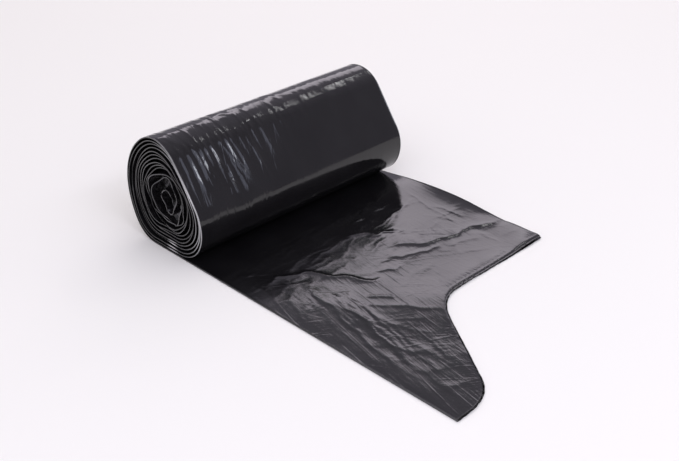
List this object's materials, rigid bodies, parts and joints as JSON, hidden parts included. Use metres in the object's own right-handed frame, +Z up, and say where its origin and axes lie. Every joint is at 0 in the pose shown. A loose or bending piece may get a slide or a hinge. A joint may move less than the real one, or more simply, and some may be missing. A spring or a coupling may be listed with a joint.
{
  "type": "bin bag roll",
  "caption": "Roll of glossy black plastic bin bags, wound without a core, with the leading bag partly unrolled so that its wavy tie-flap mouth lies flat in front of the roll.",
  "frame": {"origin": "on the floor, in the roll's flat spot, at the middle of the web's width", "axes": "X along the roll, +X away from the tie flap's side; the leading bag runs towards -Y; +Z up"},
  "size_m": [0.2466, 0.3635, 0.1012],
  "materials": {
    "film": "glossy, finely wrinkled polythene film"
  },
  "bodies": {
    "root": {"bag_roll": "film"}
  },
  "joints": []
}
